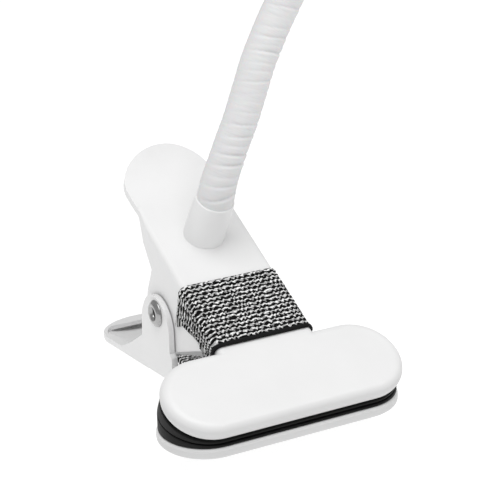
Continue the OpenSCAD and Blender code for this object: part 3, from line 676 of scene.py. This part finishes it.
raw = spline(way)
arc = np.concatenate([[0], np.cumsum([(b - a).length for a, b in zip(raw, raw[1:])])])
PITCH = 0.4                                # from one ring of points to the next
SMOOTH = 31                                # rings over which the curve is evened out
n_ring = int(arc[-1] / PITCH)
at = np.linspace(0, arc[-1], n_ring + 1)
centre = np.stack([np.interp(at, arc, [p[k] for p in raw]) for k in range(3)], 1)
kernel = np.hanning(SMOOTH)
kernel /= kernel.sum()
half = SMOOTH // 2
padded_centre = np.concatenate([centre[:1] * 2 - centre[half:0:-1], centre,
                                centre[-1:] * 2 - centre[-2:-2 - half:-1]])
centre = np.stack([np.convolve(padded_centre[:, k], kernel, "valid") for k in range(3)], 1)
tangent = np.gradient(centre, axis=0)
tangent /= np.linalg.norm(tangent, axis=1, keepdims=True)

# a frame carried along the curve without twist, starting from +X
ref = np.array([1.0, 0, 0])
frames = []
for t in tangent:
    ref = ref - t * np.dot(ref, t)
    ref /= np.linalg.norm(ref)
    frames.append((ref.copy(), np.cross(t, ref)))
    ref = frames[-1][0]


def ring_offsets(a, b, turn, r):
    """A ring of radii r at angles turn, in the plane of the unit vectors a and b."""
    return (np.outer(np.cos(turn), a) + np.outer(np.sin(turn), b)) * r[:, None]


SLEEVE_R, AROUND = 5.85, 72
FLARE, FLARE_AT, FLARE_L = 0.4, 6.5, 9.0   # the sleeve is wider where it leaves the collar
CREASE_REACH = 5.0                         # how far along the sleeve one crease is felt
angles = 2 * np.pi * np.arange(AROUND) / AROUND
# how deep creases are round the sleeve: deeper on one side than on the other
one_side = np.clip(0.45 + 0.7 * np.cos(angles + 1.05), 0.04, 1.0)

# creases: (distance along, depth, offset round), at uneven steps
rng = np.random.default_rng(7)
creases = []
pos = 9.0
while pos < arc[-1] - 6:
    creases.append((pos, rng.choice((0.35, 0.6, 1.0, 1.5)), rng.uniform(-0.6, 0.6)))
    pos += rng.uniform(2.6, 4.2)


def bell(x, width):
    return np.exp(-(x / width) ** 2)


rings = np.zeros((n_ring + 1, AROUND, 3))
painted_crease_shadings = np.zeros((n_ring + 1, AROUND))
for i in range(n_ring + 1):
    a, b = frames[i]
    r = np.full(AROUND, SLEEVE_R) + FLARE * bell(max(0.0, at[i] - FLARE_AT), FLARE_L)
    shade = np.zeros(AROUND)
    for where, depth, offset in creases:
        d = at[i] - where
        if abs(d) > CREASE_REACH:
            continue
        lean = d - 1.4 * np.cos(angles) + 0.4 * np.sin(angles - offset * 2)
        r += depth * one_side * (0.07 * bell(lean + 0.9, 0.55) - 0.2 * bell(lean, 0.4))
        # painted shade just above each crease and a painted highlight just below it, stronger on the deep
        # side
        dip = 0.07 * bell(lean, 0.35) + 0.1 * np.where(lean > 0, np.exp(-lean / 1.2), 0)
        shade += depth * one_side * (0.12 * bell(lean + 0.65, 0.35) - dip)
    r += 0.03 * math.sin(at[i] * 1.9) + 0.04 * np.sin(at[i] * 0.45 + angles)
    rings[i] = centre[i] + ring_offsets(a, b, angles, r)
    painted_crease_shadings[i] = np.clip(0.5 + shade, 0.0, 0.9)


def nearest(p):
    return int(np.argmin(np.linalg.norm(centre - np.array(p), axis=1)))


def tube_piece(name, ring_set, along, lo, hi, mat):
    """The part of a ringed tube between two of its rings, joined round its seam."""
    part = ring_set[lo:hi + 1]
    verts = np.concatenate([part, part[:, :1]], axis=1).reshape(-1, 3)
    rows, n = hi - lo + 1, ring_set.shape[1] + 1
    uvs = [(2 * math.pi * SLEEVE_R * j / (n - 1), along[lo + i]) for i in range(rows) for j in range(n)]
    faces = [(i * n + j, i * n + j + 1, (i + 1) * n + j + 1, (i + 1) * n + j)
             for i in range(rows - 1) for j in range(n - 1)]
    return mesh_object(name, verts, faces, mat, uvs, "along")


def bend_piece(ob, k):
    """Carries the last neck piece on the head; the others keep their place, baked into their points."""
    if k == 6:
        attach(ob, "head")
        return
    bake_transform(ob)


cuts = [0] + [nearest(m) for m in MID] + [n_ring]
for k in range(7):
    lo, hi = cuts[k], cuts[k + 1]
    ob = tube_piece(f"sleeve_{k}", rings, at, lo, hi, SLEEVE)
    # the creases' painted shade and highlight go to the sleeve's material as a vertex attribute
    shade = np.concatenate([painted_crease_shadings[lo:hi + 1], painted_crease_shadings[lo:hi + 1, :1]], axis=1)
    painted_crease_shading = ob.data.attributes.new("painted_crease_shading", "FLOAT", "POINT")
    painted_crease_shading.data.foreach_set("value", shade.ravel().astype(np.float32))
    bend_piece(ob, k)
    if k < 6:
        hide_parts(f"neck_sleeve_{k + 1}")

# the wound steel core runs down the sleeve's middle and on into the ferrule
CORE_R, CORE_AROUND = 3.7, 24
WIRE_PITCH, WIRE_RIDGE = 2.4, 0.17
CORE_IN = 4.9                              # how far it goes into the ferrule
spare = int((CORE_IN - SLEEVE_IN) / PITCH)
core_at = np.concatenate([at, at[-1] + PITCH * np.arange(1, spare + 1)])
core_angles = 2 * np.pi * np.arange(CORE_AROUND) / CORE_AROUND
core_rings = np.zeros((n_ring + 1 + spare, CORE_AROUND, 3))
for i, along in enumerate(core_at):
    a, b = frames[min(i, n_ring)]
    middle = centre[min(i, n_ring)] + np.array(head_dir) * max(0.0, along - at[-1])
    r = CORE_R + WIRE_RIDGE * np.cos(core_angles - 2 * np.pi * along / WIRE_PITCH)
    core_rings[i] = middle + ring_offsets(a, b, core_angles, r)
core_cuts = [nearest(BENDS[0])] + cuts[1:-1] + [n_ring + spare]
for k in range(7):
    ob = tube_piece(f"core_{k}", core_rings, core_at, core_cuts[k], core_cuts[k + 1], CORE)
    bend_piece(ob, k)
    if k < 6:
        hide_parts(f"neck_core_{k + 1}")

# ------------------------------------------------------------------ collar and rivets

profile = rounded_profile([(4.1, -2.0), (7.1, -2.0), (7.1, 0.0), (6.75, 16.1), (6.3, 16.35), (5.9, 16.2),
                           (5.8, 11.4), (4.2, 11.3)], 0.2)
collar = lathe("collar", profile, WHITE, COLLAR_FOOT, COLLAR_AXIS)
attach(collar, "upper_clip")
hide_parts("neck_collar")

for name, node, sx in (("rivet_left", "hinge_rivet", -1), ("rivet_right", "rivet_cap", 1)):
    head_profile = rounded_profile([(1.55, -3.5), (1.6, 0.3), (1.9, 1.0), (2.6, 1.6), (3.5, 1.6), (4.4, 0.8),
                                    (4.7, 0.4), (4.7, 0.02), (3.0, 0.0)], 0.45)
    ob = lathe(name, head_profile, RIVET, (sx * EAR_X, PIN[0], PIN[1]), (sx, 0, 0))
    # a near-black cup inside each rivet's hollow head, as painted shade in the hollow
    bore = lathe(name + "_bore", [(0.0, -1.6), (1.5, -1.55), (1.54, 0.2), (1.6, 0.35)], RIVET_BORE_SHADE,
                 (sx * EAR_X, PIN[0], PIN[1]), (sx, 0, 0), 48)
    for piece in (ob, bore):
        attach(piece, "lower_clip")
    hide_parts(node)
end, shank_r = EAR_X - 1.0, 2.49
shank = lathe("rivet_shank", [(0.0, -end), (shank_r, -end), (shank_r, end), (0.0, end)],
              RIVET, (0, PIN[0], PIN[1]), (1, 0, 0), 48)
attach(shank, "lower_clip")

# ------------------------------------------------------------------ plastics and pads with rounded edges

soft_copy("arm_upper", "upper_arm", "upper_clip", 0.45)
soft_copy("arm_lower", "lower_arm", "lower_clip", 0.5)
soft_copy("pad_upper", "upper_pad", "upper_clip", 0.35, angle=40)
soft_copy("pad_lower", "lower_pad", "lower_clip", 0.35, angle=40)

# the spring: a smooth-shaded copy of the CAD spring, in its place
spring = bpy.data.objects.new("spring", nodes["torsion_spring"].data.copy())
bpy.context.scene.collection.objects.link(spring)
spring.data.polygons.foreach_set("use_smooth", [True] * len(spring.data.polygons))
spring.data.set_sharp_from_angle(angle=math.radians(50))
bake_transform(spring)
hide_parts("torsion_spring")

# ------------------------------------------------------------------ stage, light and camera

floor_z = cad_box[0][2] - 0.0003           # just under the handle, the lowest part
bpy.ops.mesh.primitive_plane_add(size=60, location=(0, 0, floor_z))
floor = bpy.context.object
floor.name = "floor"
paint = material("floor_paint")
finish_shader(paint, ramp(paint, noise(paint, 3, 2), ((0.3, 0.34), (0.7, 0.36))), 0.95, IOR=1.1,
              Emission_Color=(1, 1, 1, 1), Emission_Strength=0.8)
floor.data.materials.append(paint)

world = bpy.data.worlds.new("studio")
bpy.context.scene.world = world
world.use_nodes = True
world.node_tree.nodes["Background"].inputs[0].default_value = (1, 1, 1, 1)
world.node_tree.nodes["Background"].inputs[1].default_value = 0.5


def area_light(name, at, aim, size, power):
    data = bpy.data.lights.new(name, "AREA")
    data.shape = "SQUARE"
    data.size = size
    data.energy = power
    ob = bpy.data.objects.new(name, data)
    ob.location = at
    ob.rotation_euler = (Vector(aim) - Vector(at)).to_track_quat("-Z", "Y").to_euler()
    bpy.context.scene.collection.objects.link(ob)


area_light("key", (-0.12, -0.25, 1.1), (0, 0.03, 0.05), 0.9, 8.2)

CAMERA_AT = Vector((-0.21382, -0.39049, 0.23245))
AZIMUTH, ELEVATION, ROLL = math.radians(27.59), math.radians(21.42), math.radians(-0.94)
cam_data = bpy.data.cameras.new("camera")
cam_data.sensor_width = 36
cam_data.lens = 111.97
cam_data.clip_start = 0.01
back = Vector((-math.sin(AZIMUTH) * math.cos(ELEVATION), -math.cos(AZIMUTH) * math.cos(ELEVATION),
               math.sin(ELEVATION)))
level = Vector((math.cos(AZIMUTH), -math.sin(AZIMUTH), 0))
upward = back.cross(level)
right = level * math.cos(ROLL) + upward * math.sin(ROLL)
cam = bpy.data.objects.new("camera", cam_data)
facing = Matrix((right, back.cross(right), back)).transposed()
cam.matrix_world = Matrix.Translation(CAMERA_AT) @ facing.to_4x4()
bpy.context.scene.collection.objects.link(cam)
bpy.context.scene.camera = cam

bpy.context.scene.view_settings.view_transform = "Standard"
